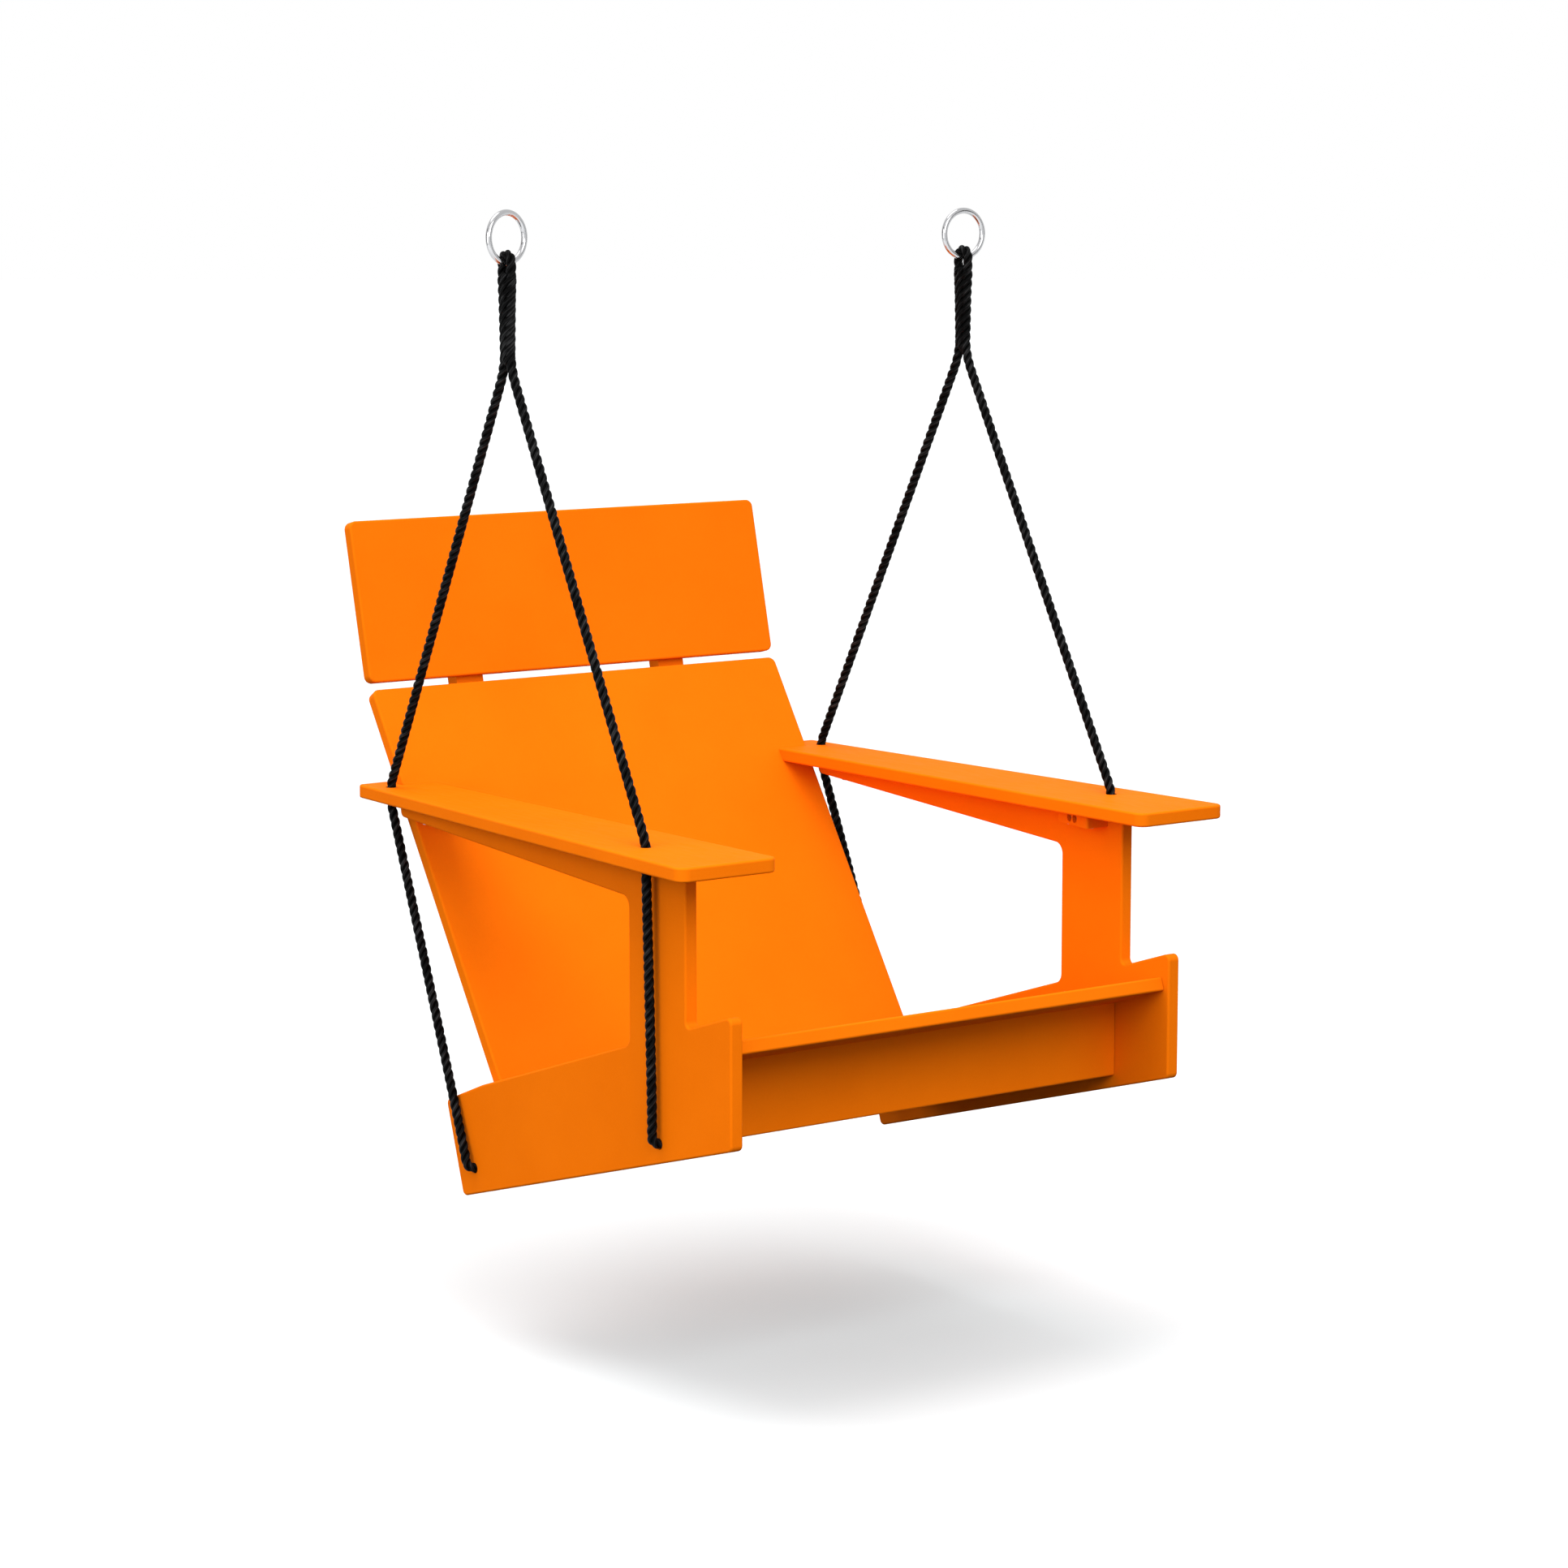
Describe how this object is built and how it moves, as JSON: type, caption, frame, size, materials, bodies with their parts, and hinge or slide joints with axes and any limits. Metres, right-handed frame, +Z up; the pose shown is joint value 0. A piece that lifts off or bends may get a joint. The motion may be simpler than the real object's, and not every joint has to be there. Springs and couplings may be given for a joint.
{
  "type": "hanging lounge chair",
  "caption": "Board lounge chair with split back, flat armrests and side panels, hung by a doubled rope and steel ring on each side.",
  "frame": {"origin": "inside of the left ring's top, where the left hook bears; the right ring's top is 0.6474 m along +X", "axes": "+X from the left ring to the right ring (the sitter's right hand is towards -X), -Y the way the chair faces, +Z up"},
  "size_m": [0.7622, 0.8303, 1.1403],
  "materials": {
    "board_orange": "fine matt texture, solid-coloured recycled sheet",
    "rope_black": "twisted polyester rope",
    "ring_steel": "polished stainless steel",
    "screw_steel": "stainless pan head"
  },
  "bodies": {
    "rings": {"ring_left": "ring_steel", "ring_right": "ring_steel"},
    "chair": {"apron_cleat_left": "board_orange", "apron_cleat_right": "board_orange", "arm_cleat_left": "board_orange", "arm_cleat_right": "board_orange", "arm_cleat_screws": "screw_steel", "arm_end_screws": "screw_steel", "arm_side_screws": "screw_steel", "arm_web_screws": "screw_steel", "armrest_left": "board_orange", "armrest_right": "board_orange", "back_cleat_left": "board_orange", "back_cleat_right": "board_orange", "back_rib_left": "board_orange", "back_rib_right": "board_orange", "backboard": "board_orange", "cleat_screws": "screw_steel", "front_apron": "board_orange", "headrest": "board_orange", "rib_screws": "screw_steel", "rope_knot_front_left": "rope_black", "rope_knot_front_right": "rope_black", "rope_knot_rear_left": "rope_black", "rope_knot_rear_right": "rope_black", "rope_left": "rope_black", "rope_right": "rope_black", "rope_splice_left": "rope_black", "rope_splice_right": "rope_black", "seat_board": "board_orange", "seat_cleat_left": "board_orange", "seat_cleat_right": "board_orange", "side_panel_left": "board_orange", "side_panel_right": "board_orange"}
  },
  "joints": [
    {"name": "swing", "type": "hinge", "parent": "rings", "child": "chair", "pos_m": [0.3237, 0, -0.0515], "axis": [1, 0, 0], "range_deg": [-30, 30]}
  ]
}
